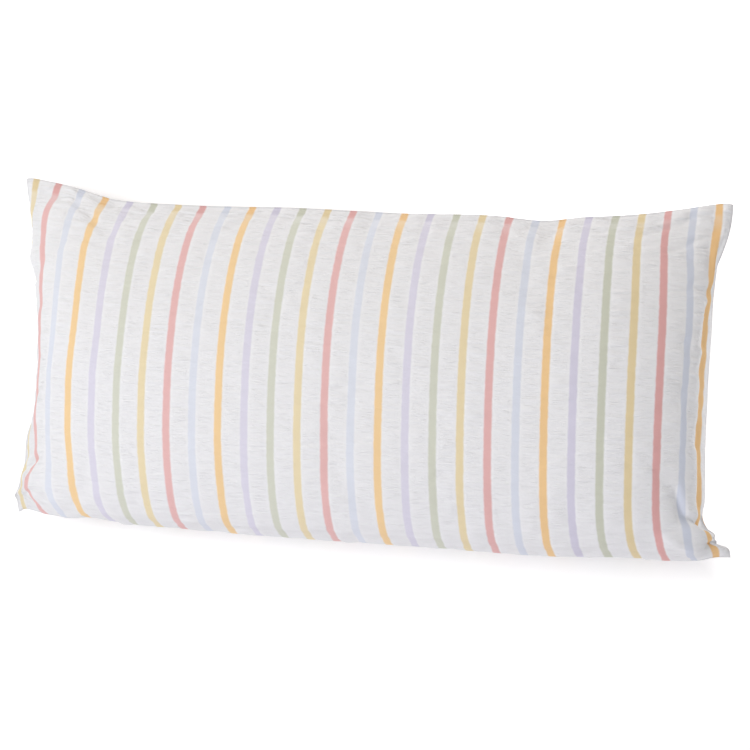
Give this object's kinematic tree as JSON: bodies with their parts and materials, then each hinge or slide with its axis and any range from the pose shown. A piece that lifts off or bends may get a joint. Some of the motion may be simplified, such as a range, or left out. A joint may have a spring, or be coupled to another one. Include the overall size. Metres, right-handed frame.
{
  "type": "seersucker pillowcase",
  "caption": "Filled rectangular pillowcase in striped seersucker cotton, lying on its back, with a soft crown and pulled-out corners.",
  "frame": {"origin": "middle of the outline at the level of the surface it lies on", "axes": "+X along the length, +Y across towards the upper long edge, +Z out of the face"},
  "size_m": [0.7934, 0.3996, 0.1432],
  "materials": {
    "seersucker_cotton": "matte puckered cotton"
  },
  "bodies": {
    "root": {"pillowcase": "seersucker_cotton"}
  },
  "joints": []
}
